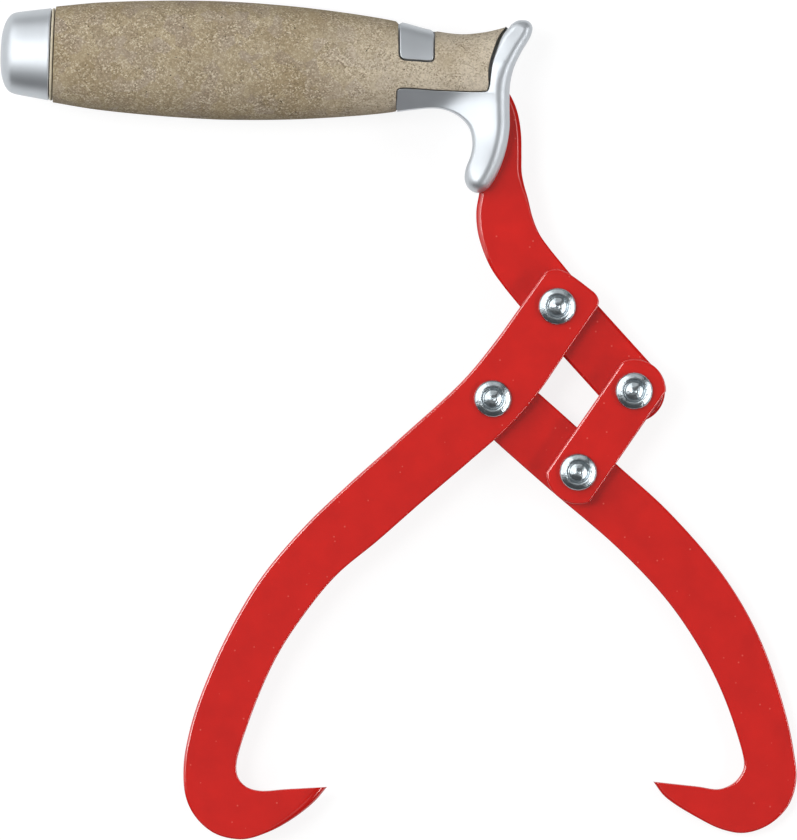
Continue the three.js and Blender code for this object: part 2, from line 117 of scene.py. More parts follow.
# Points up the inner side of the neck and down the outer: x and y as shares of the guard point's
# setback and rise, and the edge's rounding as a share of the neck's
neck_inner_shares = [
    (-0.569, 0.006, 0.3), (-0.792, 0.084, 0.4), (-0.978, 0.159, 0.6), (-1.111, 0.244, 0.85),
    (-1.186, 0.324, 1), (-1.202, 0.404, 1), (-1.16, 0.48, 1), (-1.119, 0.569, 1), (-1.126, 0.662, 1),
    (-1.186, 0.747, 1), (-1.29, 0.823, 0.6), (-1.46, 0.885, 0.3),
]
neck_outer_shares = [
    (-1.297, 1.048, 0.3), (-1.03, 1.013, 0.6), (-0.836, 0.954, 1), (-0.707, 0.899, 1),
    (-0.631, 0.856, 1), (-0.572, 0.801, 1), (-0.535, 0.725, 1), (-0.53, 0.641, 1), (-0.527, 0.569, 1),
    (-0.495, 0.518, 0.8), (-0.435, 0.457, 0.5), (-0.361, 0.373, 0.35), (-0.257, 0.303, 0.28),
    (-0.094, 0.238, 0.28),
]


def curve_through(points, steps=8):
    """A centripetal Catmull-Rom curve through rows of numbers. Between two points it is the cubic
    whose end slopes come from the neighbours, each spaced by the square root of its distance."""
    points = np.asarray(points, float)
    p = np.vstack([2 * points[0] - points[1], points, 2 * points[-1] - points[-2]])
    gap = np.sqrt(np.linalg.norm(np.diff(p[:, :2], axis=0), axis=1))[:, None]
    before, here, after = gap[:-2], gap[1:-1], gap[2:]
    p0, p1, p2, p3 = p[:-3], p[1:-2], p[2:-1], p[3:]
    slope1 = here * ((p1 - p0) / before - (p2 - p0) / (before + here)) + p2 - p1
    slope2 = here * ((p3 - p2) / after - (p3 - p1) / (here + after)) + p2 - p1
    u = (np.arange(steps) / steps)[None, :, None]
    p1, p2, slope1, slope2 = (part[:, None] for part in (p1, p2, slope1, slope2))
    cubic = p1 + slope1 * u + (3 * (p2 - p1) - 2 * slope1 - slope2) * u**2
    cubic = cubic + (2 * (p1 - p2) + slope1 + slope2) * u**3
    return np.vstack([cubic.reshape(-1, p.shape[1]), points[-1:]])


def polar(centre, radius, angle):
    """Points at a radius from a centre: centre + radius (cos angle, sin angle)."""
    angle = np.atleast_1d(angle)
    return np.asarray(centre) + radius * np.stack([np.cos(angle), np.sin(angle)], axis=1)


def handle_point(along, up):
    """Points on the handle's leaning axis frame, counted from the guard point."""
    along, up = np.broadcast_arrays(np.atleast_1d(along), np.atleast_1d(up))
    cos, sin = np.cos(handle_lean), np.sin(handle_lean)
    return guard_point + np.stack([along * cos - up * sin, along * sin + up * cos], axis=1)


def along_and_up(points):
    """The inverse of handle_point: how far points lie along the handle and above its axis."""
    offset = points - guard_point
    cos, sin = np.cos(handle_lean), np.sin(handle_lean)
    return offset @ [cos, sin], offset @ [-sin, cos]


def all_round(steps):
    """Angles at equal steps round a circle: 2 pi i / steps."""
    return np.arange(steps) / steps * 2 * np.pi


SHORTEST_EDGE = 0.02
LONGEST_EDGE = 1.2


def edge_loop(points, width, drop=None, hole=False):
    """A closed outline with the width and depth of its edge rounding at each point. It runs
    counterclockwise, or clockwise for a hole, so the material is always on its left."""
    width = np.asarray(width, float)
    drop = width * rounding_depth_share if drop is None else drop
    rows = np.column_stack([points, *np.broadcast_arrays(width, drop, points[:, 0])[:2]])
    rows = rows[np.linalg.norm(points - np.roll(points, 1, axis=0), axis=1) > SHORTEST_EDGE]
    rows = np.vstack([rows, rows[:1]])
    reach = np.linalg.norm(np.diff(rows[:, :2], axis=0), axis=1)
    pieces = np.ceil(reach / LONGEST_EDGE).astype(int)
    share = np.concatenate([np.arange(n) / n for n in pieces])[:, None]
    start, end = np.repeat(rows[:-1], pieces, axis=0), np.repeat(rows[1:], pieces, axis=0)
    rows = start + share * (end - start)
    x, y = rows[:, 0], rows[:, 1]
    counterclockwise = (x * np.roll(y, -1) - y * np.roll(x, -1)).sum() > 0
    return rows if counterclockwise != hole else rows[::-1]


def distances(points, edges):
    """From each point to each edge: to the foot of the perpendicular, held between the edge's ends."""
    start = edges[:, 0, :2]
    along = edges[:, 1, :2] - start
    offset = points[:, None] - start
    share = np.clip((offset * along).sum(2) / (along**2).sum(1), 0, 1)
    return np.linalg.norm(offset - share[..., None] * along, axis=2)


def enclosed(points, edges):
    """True where a ray to the right crosses the outlines an odd number of times."""
    x, y = points[:, :1], points[:, 1:2]
    (x0, y0), (x1, y1) = edges[:, 0, :2].T, edges[:, 1, :2].T
    crosses = (y0 > y) != (y1 > y)
    rise = np.where(y1 == y0, 1, y1 - y0)
    return (crosses & (x < x0 + (y - y0) * (x1 - x0) / rise)).sum(1) % 2 == 1


shoulder_share = 0.22


def quarter_ellipse(near):
    """A rounded edge: 1 - sqrt(1 - near^2), where near is 1 at the outline and 0 at the rounding's end."""
    return 1 - np.sqrt(1 - near**2)


def soft_chamfer(near):
    """A ground edge, a straight bevel with a small soft shoulder s: sqrt(near^2 + s^2) - s, which
    is divided by its value at the outline."""
    soft = np.sqrt(near**2 + shoulder_share**2) - shoulder_share
    return soft / (np.sqrt(1 + shoulder_share**2) - shoulder_share)


def lowered(points, edges, base, edge_form):
    """Height of a face: its base height, less the deepest of the edges' forms. An edge lowers what
    lies within its width by drop times its form of 1 - distance / width."""
    rounds = edges[edges[:, 0, 3] + edges[:, 1, 3] > 0]
    width, drop = rounds[:, :, 2].mean(1), rounds[:, :, 3].mean(1)
    near = 1 - np.clip(distances(points, rounds) / width, 0, 1)
    return base(points) - (drop * edge_form(near)).max(1)


LEAST_HALF_THICKNESS = 0.02
LEAST_HALF_TURN_COS = 0.15
SAME_PLACE = 1e-6
flat_row_share = 1.25
# A moved row's point is kept where this share of its inset is clear of every edge
clear_share = 0.93
# Shares of the lattice's spacing: its rows' distance, and the room it leaves to the rounding
lattice_rise_share = 0.866
lattice_room_share = 0.4
# A slope is measured over this share of the distance to the nearest edge, within these limits
slope_step_share = 0.2
slope_step_limits = (1e-4, 0.05)


def two_faced(loops, base, middle, lattice=0, rim_steps=5, edge_form=quarter_ellipse):
    """A closed body with its front and back alike, base(points) high on both sides of its middle.
    Its points are the outlines, rows of points moved inward over the rounding at equal steps of
    its angle, and a lattice inside them. Triangles join them, and a wall joins front and back."""
    edges = np.concatenate([np.stack([loop, np.roll(loop, -1, axis=0)], axis=1) for loop in loops])
    outline = np.concatenate(loops)
    ahead = np.concatenate([np.roll(loop, -1, axis=0)[:, :2] - loop[:, :2] for loop in loops])
    behind = np.concatenate([loop[:, :2] - np.roll(loop, 1, axis=0)[:, :2] for loop in loops])
    ahead, behind = (v / np.linalg.norm(v, axis=1)[:, None] for v in (ahead, behind))
    travel = (ahead + behind) / 2
    half_turn_cos = np.maximum(np.linalg.norm(travel, axis=1), LEAST_HALF_TURN_COS)
    travel /= half_turn_cos[:, None]
    outward = np.column_stack([travel[:, 1], -travel[:, 0]])

    shares = np.append(1 - np.cos(np.linspace(0, np.pi / 2, rim_steps + 1)[1:]), flat_row_share)
    inset = shares[:, None] * outline[:, 2]
    rows = (outline[:, :2] - inset[..., None] * outward / half_turn_cos[:, None]).reshape(-1, 2)
    inset = inset.ravel()
    clear = (distances(rows, edges).min(1) > clear_share * inset) & enclosed(rows, edges)
    points = np.vstack([outline[:, :2], rows[clear]])
    if lattice:
        low, high = outline[:, :2].min(0), outline[:, :2].max(0)
        across = np.arange(low[0], high[0], lattice)
        upward = np.arange(low[1], high[1], lattice * lattice_rise_share)
        x, y = np.meshgrid(across, upward)
        x = x + lattice / 2 * (np.arange(len(upward)) % 2)[:, None]
        inner = np.column_stack([x.ravel(), y.ravel()])
        inner = inner[enclosed(inner, edges)]
        room = (distances(inner, edges) - edges[:, :, 2].mean(1)).min(1)
        points = np.vstack([points, inner[room > lattice_room_share * lattice]])

    sizes = [len(loop) for loop in loops]
    firsts = np.repeat(np.cumsum([0, *sizes[:-1]]), sizes)
    order = np.concatenate([np.arange(size) for size in sizes])
    following = firsts + (order + 1) % np.repeat(sizes, sizes)
    rim = np.column_stack([np.arange(len(outline)), following])
    found = delaunay_2d_cdt([Vector(p) for p in points.tolist()], rim.tolist(), [], 0, SAME_PLACE)
    corners = np.array([sources[0] for sources in found[3]])
    triangles = corners[np.array(found[2])]
    triangles = triangles[enclosed(points[triangles].mean(1), edges)]

    height = lowered(points, edges, base, edge_form)
    height[:len(outline)] = np.minimum(height[:len(outline)], base(outline[:, :2]) - outline[:, 3])
    height = np.maximum(height, LEAST_HALF_THICKNESS)
    inside = points[len(outline):]
    step = np.clip(slope_step_share * distances(inside, edges).min(1), *slope_step_limits)[:, None]
    right, up = step * [1, 0], step * [0, 1]
    rises = [lowered(inside + way, edges, base, edge_form) - lowered(inside - way, edges, base, edge_form)
             for way in (right, up)]
    slopes = np.stack(rises, axis=1) / step / 2
    normals = np.vstack([
        np.column_stack([outward, np.zeros(len(outline))]),
        np.column_stack([-slopes, np.ones(len(inside))]),
    ])
    normals /= np.linalg.norm(normals, axis=1)[:, None]

    count = len(points)
    front = np.column_stack([points, middle + height])
    back = np.column_stack([points, middle - height])
    walls = np.column_stack([rim + count, rim[:, ::-1]])
    faces = [*triangles.tolist(), *(triangles[:, ::-1] + count).tolist(), *walls.tolist()]
    return np.vstack([front, back]), faces, np.vstack([normals, normals * [1, 1, -1]])


def skin(rings):
    """A closed body over rings of points. The first and last ring each shrink to their middle point."""
    count, around = len(rings), rings.shape[1]
    points = np.vstack([rings.reshape(-1, 3), rings[0].mean(0), rings[-1].mean(0)])
    index = np.arange(count * around).reshape(count, around)
    beside = np.roll(index, -1, axis=1)
    sides = np.stack([index[:-1], beside[:-1], beside[1:], index[1:]], axis=2).reshape(-1, 4)
    first = np.column_stack([np.full(around, count * around), beside[0], index[0]])
    last = np.column_stack([np.full(around, count * around + 1), index[-1], beside[-1]])
    return points, [*sides.tolist(), *first.tolist(), *last.tolist()], None


def on_handle(rings):
    """Rings drawn with x along the handle, y up and z through it, moved to the handle's axis."""
    flat = handle_point(rings[..., 0].ravel(), rings[..., 1].ravel()).reshape(*rings.shape[:-1], 2)
    return np.concatenate([flat, rings[..., 2:] + back_middle], axis=-1)


def turned(profile, steps=ROUND_STEPS):
    """A profile of (along, radius) rows turned about the x axis: y and z are radius (cos a, sin a)."""
    angle = all_round(steps)
    along, radius = np.asarray(profile, float).T[:, :, None]
    return np.stack([along + 0 * angle, radius * np.cos(angle), radius * np.sin(angle)], axis=2)


def put_together(name, material, *bodies):
    """One smooth object of one material from closed bodies, laid down. A body's own normals are
    kept where given."""
    counts = np.cumsum([0, *[len(points) for points, _, _ in bodies]])
    mesh = bpy.data.meshes.new(name)
    faces = [[int(c + start) for c in face] for start, (_, rows, _) in zip(counts, bodies) for face in rows]
    mesh.from_pydata(laid_down(np.vstack([points for points, _, _ in bodies])).tolist(), [], faces)
    mesh.shade_smooth()
    if any(normals is not None for _, _, normals in bodies):
        kept = np.zeros((len(mesh.vertices), 3), np.float32)
        mesh.vertex_normals.foreach_get("vector", kept.ravel())
        for start, (points, _, normals) in zip(counts, bodies):
            if normals is not None:
                kept[start:start + len(points)] = normals @ tilt.T
        mesh.normals_split_custom_set_from_vertices(kept.tolist())
    mesh.materials.append(material)
    made = bpy.data.objects.new(name, mesh)
    bpy.context.scene.collection.objects.link(made)
    return made


def linear(hex_colour):
    """An sRGB hex colour as linear numbers: ((c + 0.055) / 1.055)^2.4, or c / 12.92 when dark."""
    c = np.array([int(hex_colour[i:i + 2], 16) / 255 for i in (1, 3, 5)])
    return (*np.where(c > 0.04045, ((c + 0.055) / 1.055) ** 2.4, c / 12.92), 1)


def fill_in(material, node, sockets):
    """Links each named or numbered socket of a node where it is given a socket, and else sets it."""
    for name, value in dict(sockets).items():
        if isinstance(value, bpy.types.NodeSocket):
            material.node_tree.links.new(value, node.inputs[name])
        else:
            node.inputs[name].default_value = value


def add(material, kind, sockets=(), **settings):
    """Adds one node with its settings, fills in its sockets, and gives its outputs."""
    made = material.node_tree.nodes.new("ShaderNode" + kind)
    for name, value in settings.items():
        setattr(made, name, value)
    fill_in(material, made, sockets)
    return made.outputs


def new_finish(name):
    """A material with nodes, and the Object coordinates that its patterns follow."""
    made = bpy.data.materials.new(name)
    made.use_nodes = True
    return made, add(made, "TexCoord")["Object"]


def main_shader(material, sockets):
    """Fills in the sockets of the material's one Principled shader."""
    fill_in(material, material.node_tree.nodes["Principled BSDF"], sockets)


# A metre in millimetres: a pattern's scale is METRE / its size
METRE = 1000

# Powder coat, baked gloss red: a fine orange peel in the gloss, a few trapped nibs, and colour
# that is nearly even over the plate
coat_colour = linear("#dd170b")
coat_shade = linear("#be0d04")
nib_colour = linear("#e8685c")
orange_peel_size = 1.4
tone_size = 9
nib_spacing = 3.8
nib_radius_share = 0.045
nib_strength = 0.6

powder_coat, place = new_finish("powder_coat_red")
tone = add(powder_coat, "TexNoise", {"Vector": place, "Scale": METRE / tone_size, "Detail": 5})
nibs = add(powder_coat, "TexVoronoi", {"Vector": place, "Scale": METRE / nib_spacing})
is_nib = add(powder_coat, "MapRange", {
    "Value": nibs["Distance"], "From Min": nib_radius_share, "From Max": 2 * nib_radius_share,
    "To Min": nib_strength, "To Max": 0,
})
plain_coat = add(powder_coat, "Mix", {0: tone[0], 6: coat_colour, 7: coat_shade}, data_type="RGBA")
coat = add(powder_coat, "Mix", {0: is_nib[0], 6: plain_coat[2], 7: nib_colour}, data_type="RGBA")
peel = add(powder_coat, "TexNoise", {"Vector": place, "Scale": METRE / orange_peel_size, "Detail": 1})
peel_bump = add(powder_coat, "Bump", {"Height": peel[0], "Strength": 0.04, "Distance": 0.0002})
main_shader(powder_coat, {
    "Base Color": coat[2], "Normal": peel_bump[0],
    "Roughness": 0.12, "IOR": 1.55, "Specular IOR Level": 0.85,
})

across = np.arctan2(link_pivot[1], link_pivot[0]) + np.pi / 2
span = np.array([abs(guard_point[0]), guard_point[1], neck_rounding])
inner_side = curve_through([*(np.array(neck_inner_shares) * span),
                            [*handle_point(tang_straight_start, -tang_half_height)[0], plate_rounding]])
outer_side = curve_through([[*handle_point(tang_straight_start, tang_half_height)[0], plate_rounding],
                            *(np.array(neck_outer_shares) * span)])
tip_start = across - np.arccos(arm_outer_width / arm_end_radius)
tip_end = across - np.pi + np.arccos(arm_inner_width / arm_end_radius)
straight = np.vstack([
    handle_point(tang_shoulder, -tang_half_height), handle_point(tang_shoulder, tang_half_height),
])
bar_end = np.vstack([
    polar(main_pivot, arm_outer_width, across),
    polar(link_pivot, arm_end_radius, np.linspace(tip_start, tip_end, ROUND_STEPS // 2)),
    polar(main_pivot, arm_inner_width, across + np.pi),
])
handle_outline = np.vstack([
    inner_side,
    np.column_stack([straight, [plate_rounding] * len(straight)]),
    outer_side,
    np.column_stack([bar_end, [plate_rounding] * len(bar_end)]),
])
handle_loop = edge_loop(handle_outline[:, :2], handle_outline[:, 2], handle_outline[:, 2] * neck_depth_share)


def round_hole(centre, radius=hole_radius):
    """A hole's edge: the points at its radius all round, with a small rounding."""
    return edge_loop(polar(centre, radius, all_round(ROUND_STEPS)), hole_rounding, hole=True)


def flat(points):
    """The base height of a flat plate: half its thickness everywhere."""
    return np.full(len(points), plate_thickness / 2)


half_turns = np.arange(int((tang_shoulder - stud_end) / thread_pitch) * 2 - 2)
thread = np.column_stack([
    stud_end + thread_lead_in + half_turns * thread_pitch / 2,
    stud_radius - thread_depth * (half_turns % 2 == 0),
])
stud_profile = [
    (stud_end, near_axis), (stud_end, stud_radius - thread_depth), *thread,
    (tang_shoulder + stud_root, near_axis),
]
handle_bar = two_faced(
    [handle_loop, round_hole(main_pivot), round_hole(link_pivot)],
    flat, back_middle, rim_steps=8, edge_form=soft_chamfer)
handle_arm = put_together("handle_arm_plate", powder_coat, handle_bar, skin(on_handle(turned(stud_profile))))
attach(handle_arm, "handle")
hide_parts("handle_arm")

# Left hook arm
# A flat laser-cut steel plate in the front layer, powder coated. One rivet hangs it on the handle
# arm and the other joins it to the right hook arm. Its lower end curves in to a sharp hook.
left_arm_reach = 119.5
left_arm_drop = 170.5
grind_reach = 27
grind_depth_share = 0.5
left_grind_width = 3.6
left_top_shares = [
    (-0.042, 0.056), (-0.029, 0.066), (-0.001, 0.07), (0.027, 0.063), (0.081, 0.036),
    (0.104, 0.022), (0.111, 0.01), (0.108, -0.001),
]
left_inner_shares = [
    (0.108, -0.001), (0.015, -0.095), (-0.05, -0.161), (-0.124, -0.221), (-0.239, -0.293),
    (-0.368, -0.37), (-0.48, -0.439), (-0.591, -0.504), (-0.681, -0.581), (-0.754, -0.661),
    (-0.822, -0.772), (-0.859, -0.862), (-0.852, -0.886), (-0.831, -0.901), (-0.796, -0.908),
    (-0.724, -0.905), (-0.616, -0.901),
]
left_outer_shares = [
    (-0.616, -0.901), (-0.652, -0.93), (-0.713, -0.963), (-0.775, -0.986), (-0.842, -0.999),
    (-0.914, -0.989), (-0.966, -0.959), (-0.994, -0.92), (-1, -0.86), (-0.981, -0.787),
    (-0.946, -0.714), (-0.879, -0.61), (-0.791, -0.507), (-0.676, -0.412), (-0.563, -0.336),
    (-0.424, -0.249), (-0.253, -0.139), (-0.17, -0.069), (-0.101, -0.002), (-0.042, 0.056),
]


def hook_loop(runs, outer_run, reach, drop, pivot, grind_width):
    """A hook's outline: runs of smooth curves through shares of its reach and drop, joined at the
    corners. The outer run starts at the tip, where the plate is ground to a facet: its edge is
    wider by g = grind_width (1 - distance from the tip / grind_reach), and deeper by a share of g."""
    rows = []
    for run in runs:
        points = curve_through(np.array(run) * [reach, drop] + pivot)
        from_tip = np.linalg.norm(points - points[0], axis=1)
        ground = grind_width * np.clip(1 - from_tip / grind_reach, 0, None) * (run is outer_run)
        edge_drop = plate_rounding * rounding_depth_share + grind_depth_share * ground
        rows.append(np.column_stack([points, plate_rounding + ground, edge_drop]))
    rows = np.vstack(rows)
    return edge_loop(rows[:, :2], rows[:, 2], rows[:, 3])


left_loop = hook_loop([left_top_shares, left_inner_shares, left_outer_shares], left_outer_shares,
                      left_arm_reach, left_arm_drop, main_pivot, left_grind_width)
left_plate = two_faced([left_loop, round_hole(main_pivot), round_hole(cross_pivot)], flat, front_middle)
left_arm = put_together("left_hook_arm_plate", powder_coat, left_plate)
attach(left_arm, "left_arm")
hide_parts("left_hook_arm")

# Right hook arm
# The same kind of plate in the back layer. It hangs on the left arm at the crossing rivet, and
# the short link holds its second hole, which is cut wide enough for the link's own swing.
right_arm_reach = 97.2
right_arm_drop = 139
right_grind_width = 0.9
open_hole_radius = 5.1
right_inner_shares = [
    (-0.064, -0.052), (0.017, -0.104), (0.192, -0.212), (0.407, -0.341), (0.565, -0.457),
    (0.667, -0.558), (0.743, -0.657), (0.8, -0.762), (0.828, -0.841), (0.821, -0.861),
    (0.795, -0.884), (0.746, -0.899), (0.674, -0.893), (0.529, -0.882),
]
right_outer_shares = [
    (0.529, -0.882), (0.568, -0.917), (0.677, -0.966), (0.756, -0.992), (0.828, -1),
    (0.907, -0.982), (0.972, -0.939), (1, -0.88), (0.991, -0.809), (0.958, -0.707),
    (0.876, -0.546), (0.76, -0.407), (0.578, -0.259), (0.41, -0.152), (0.275, -0.064),
    (0.163, 0.006), (0.078, 0.058),
]
right_top_shares = [
    (0.078, 0.058), (0.025, 0.067), (-0.028, 0.063), (-0.074, 0.041), (-0.095, 0.011),
    (-0.09, -0.022), (-0.064, -0.052),
]
right_loop = hook_loop([right_inner_shares, right_outer_shares, right_top_shares], right_outer_shares,
                       right_arm_reach, right_arm_drop, cross_pivot, right_grind_width)
right_plate = two_faced(
    [right_loop, round_hole(cross_pivot), round_hole(open_pivot, open_hole_radius)], flat, back_middle)
right_arm = put_together("right_hook_arm_plate", powder_coat, right_plate)
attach(right_arm, "right_arm")
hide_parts("right_hook_arm")

# Short link
# A short flat bar of the same coated steel in the front layer, with a shallow round end about
# each of its two rivets.
link_width = 16.8
link_end_bulge = 1.8
link_end_radius = link_width / 2 + link_end_bulge
link_direction = np.arctan2(*(open_pivot - link_pivot)[::-1])
link_half_end = np.arcsin(link_width / 2 / link_end_radius)
end_sweep = np.linspace(-link_half_end, link_half_end, ROUND_STEPS // 2)
link_outline = np.vstack([
    polar(open_pivot, link_end_radius, link_direction + end_sweep),
    polar(link_pivot, link_end_radius, link_direction + np.pi + end_sweep),
])
link_loop = edge_loop(link_outline, plate_rounding)
link_plate = two_faced([link_loop, round_hole(link_pivot), round_hole(open_pivot)], flat, front_middle)
short_link = put_together("short_link_bar", powder_coat, link_plate)
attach(short_link, "link")
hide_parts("short_link")

# Rivets
# Four zinc-plated steel rivets, each turned over by a spinning tool that leaves a domed head with
# a sunk ring and a point at its centre. On the back each has a plain low dome.
head_gap = 0.1
rivet_top = front_middle + plate_thickness / 2 + head_gap
rivet_bottom = back_middle - plate_thickness / 2 - head_gap
shank_radius = 3.5
# Radius and height above the plate, from the head's centre outward to its foot
head_profile = [
    (0.1, 1.7), (0.3, 1.78), (0.6, 2.1), (0.85, 2.2), (1.2, 2.13), (1.9, 1.84), (2.65, 1.48), (3, 1.22),
    (3.2, 1.18), (3.4, 1.42), (3.6, 1.76), (3.85, 1.98), (4.1, 2.05), (4.5, 1.9), (5.1, 1.6), (5.6, 1.28),
    (5.86, 0.95), (6, 0.5), (5.98, 0.2), (5.9, 0),
]
# The same for the tail on the back, from its foot inward
tail_profile = [(5.9, 0), (6, 0.35), (5.9, 0.8), (5.2, 1.45), (4, 1.9), (2.4, 2.15), (0.3, 2.2)]


def rivet_body(centre):
    """A rivet about its pivot: head, shank and tail profiles turned about z."""
    head = curve_through(head_profile, steps=4) + [0, rivet_top]
    tail = curve_through(tail_profile, steps=4) * [1, -1] + [0, rivet_bottom]
    profile = np.vstack([head, [(shank_radius, rivet_top), (shank_radius, rivet_bottom)], tail])
    rings = turned(profile[:, ::-1])
    return skin(rings[..., [1, 2, 0]] + [*centre, 0])


# Zinc plate, bright and slightly blue: a smooth metal, a little uneven in tone and surface
zinc_patch_size = 1.5
zinc, zinc_place = new_finish("bright_zinc_plate")
zinc_tone = add(zinc, "TexNoise", {"Vector": zinc_place, "Scale": METRE / zinc_patch_size, "Detail": 3})
zinc_colour = add(zinc, "Mix", {
    0: zinc_tone[0], 6: linear("#a6b1b7"), 7: linear("#d0d8dc"),
}, data_type="RGBA")
zinc_bump = add(zinc, "Bump", {"Height": zinc_tone[0], "Strength": 0.7, "Distance": 0.0002})
main_shader(zinc, {
    "Base Color": zinc_colour[2], "Normal": zinc_bump[0], "Metallic": 1, "Roughness": 0.24,
})

for rivet_node, rivet_centre, rivet_rides_on in [
    ("rivet_handle_left", main_pivot, "handle"),
    ("rivet_handle_link", link_pivot, "handle"),
    ("rivet_left_right", cross_pivot, "left_arm"),
    ("rivet_link_right", open_pivot, "link"),
]:
    rivet = put_together(rivet_node + "_formed", zinc, rivet_body(rivet_centre))
    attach(rivet, rivet_rides_on)
    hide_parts(rivet_node)

# Cork grip
# Pressed cork granules, ground and sanded to an oval spindle, narrowed to a neck and flared again
# at the guard. It is slid on the tang, and notched for the casting's saddle and rest.
grip_height = 37.9
grip_depth = 29.9
ovalness = 2.3
fit_gap = 0.3
grip_shares = [
    (0, 0.811, 0.82), (0.1, 0.905, 0.9), (0.247, 0.976, 0.97), (0.369, 1, 1), (0.424, 0.995, 1),
    (0.488, 0.979, 0.99), (0.568, 0.945, 0.96), (0.67, 0.876, 0.91), (0.754, 0.8, 0.86), (0.8, 0.74, 0.83),
    (0.867, 0.632, 0.79), (0.931, 0.589, 0.78), (0.977, 0.626, 0.8), (1.018, 0.7, 0.82),
    (1.043, 0.763, 0.84), (1.08, 0.87, 0.86),
]
grip_curve = curve_through(grip_shares, steps=12)
grip_along = (grip_curve[:, 0] - 1) * grip_length
grip_half_height = grip_curve[:, 1] * grip_height / 2
grip_half_depth = grip_curve[:, 2] * grip_depth / 2
grip_top = handle_point(grip_along, grip_half_height)
grip_bottom = handle_point(grip_along, -grip_half_height)

# The casting's own edges, as shares of the guard's span and height from the guard point. The
# parting line runs up the rest's end, along its top, and up between the grip and the guard.
guard_size = np.array([43.2, 55])
parting_shares = [
    (-0.687, -0.3), (-0.687, -0.15), (-0.684, -0.125), (-0.663, -0.115), (-0.37, -0.126), (-0.06, -0.133),
    (-0.019, -0.127), (-0.004, -0.1), (0.004, -0.05), (0.019, 0.035), (0.059, 0.134), (0.096, 0.198),
    (0.156, 0.259), (0.215, 0.349), (0.25, 0.42),
]
saddle_shares = [
    (-0.419, 0.5), (-0.419, 0.12), (-0.419, 0.072), (-0.423, 0.058), (-0.434, 0.05), (-0.448, 0.048),
    (-0.54, 0.053), (-0.632, 0.058), (-0.649, 0.063), (-0.66, 0.073), (-0.666, 0.091), (-0.667, 0.14),
    (-0.667, 0.5),
]


def grip_surface(points):
    """The grip's half depth at a place seen from the side: a superellipse across the handle,
    w (1 - |u / h|^2.3)^(1 / 2.3), whose half height h and half depth w follow the grip's curve."""
    along, up = along_and_up(points)
    half_height = np.interp(along, grip_along, grip_half_height)
    half_depth = np.interp(along, grip_along, grip_half_depth)
    return half_depth * np.clip(1 - np.abs(up / half_height) ** ovalness, 0, None) ** (1 / ovalness)


def smooth_step(value, start, end):
    """0 before start, 1 after end, and 3 t^2 - 2 t^3 between."""
    t = np.clip((value - start) / (end - start), 0, 1)
    return t * t * (3 - 2 * t)


def sideways(points, distance):
    """An open line moved to its left by a distance, along the mean of its neighbours' normals."""
    travel = np.gradient(points, axis=0)
    travel /= np.linalg.norm(travel, axis=1)[:, None]
    return points + distance * np.column_stack([-travel[:, 1], travel[:, 0]])


def within_grip(points):
    """The stretch of a line that lies on the grip seen from the side."""
    return points[grip_surface(points) > 0]


def silhouette(edge, start, end, spacing=0.8):
    """The grip's edge seen from the side, between two x places, at even steps."""
    x = np.linspace(start, end, max(int(abs(end - start) / spacing), 1) + 1)[1:-1]
    return np.column_stack([x, np.interp(x, edge[:, 0], edge[:, 1])])


parting = curve_through(np.array(parting_shares) * guard_size + guard_point, steps=24)
saddle_edge = curve_through(np.array(saddle_shares) * guard_size + guard_point, steps=24)
guard_gap = 1.0
saddle_gap = 0.45
gap_shares = (-0.12, 0)
parting_height = (parting[:, 1] - guard_point[1]) / guard_size[1]
parting_gap = fit_gap + (guard_gap - fit_gap) * smooth_step(parting_height, *gap_shares)
cork_cut = within_grip(sideways(parting, parting_gap[:, None]))
saddle_cut = within_grip(sideways(saddle_edge, saddle_gap))[::-1]
END_STEPS = 40
cork_end = handle_point(-grip_length, np.linspace(1, -1, END_STEPS)[1:-1] * grip_half_height[0])
cork_top_left, cork_bottom_left = grip_top[0], grip_bottom[0]
silhouette_width = 3
cut_rounding = 0.35

cork_belly = silhouette(grip_bottom, cork_bottom_left[0], cork_cut[0, 0])
cork_back = silhouette(grip_top, saddle_cut[0, 0], cork_top_left[0])
cork_runs = [
    (np.vstack([cork_bottom_left, cork_belly]), silhouette_width, 0),
    (cork_cut, cut_rounding, cut_rounding),
    (silhouette(grip_top, cork_cut[-1, 0], saddle_cut[-1, 0]), silhouette_width, 0),
    (saddle_cut[::-1], cut_rounding, cut_rounding),
    (np.vstack([cork_back, cork_top_left]), silhouette_width, 0),
    (cork_end, cut_rounding, cut_rounding),
]


def joined_runs(runs):
    """One loop from runs of points, each with its own rounding width and drop."""
    rows = np.vstack([
        np.column_stack([points, np.full((len(points), 2), (width, drop))]) for points, width, drop in runs
    ])
    return edge_loop(rows[:, :2], rows[:, 2], rows[:, 3])


cork_body = two_faced([joined_runs(cork_runs)], grip_surface, back_middle, lattice=1.2, rim_steps=8)

# Pressed cork, sanded: granules of a few millimetres, each of its own tan or greyish tone, and on
# them fine light and dark grains that are stronger in patches, a few deep pits painted near black as
# their shade, and a neck painted paler, partly for its sanding and partly as painted light that makes
# up for the neck's surface turning away from the lamps
granule_size = 4.5
granule_bend_size = 2.5
granule_bend = 0.002
grain_size = 0.42
grain_bend = 0.00035
rough_patch_size = 6
drift_size = 20
pit_spacing = 3.5
paling_x = (-80, -35)
pale_start, pale_end = (laid_down([x, guard_point[1], 0])[0] for x in paling_x)

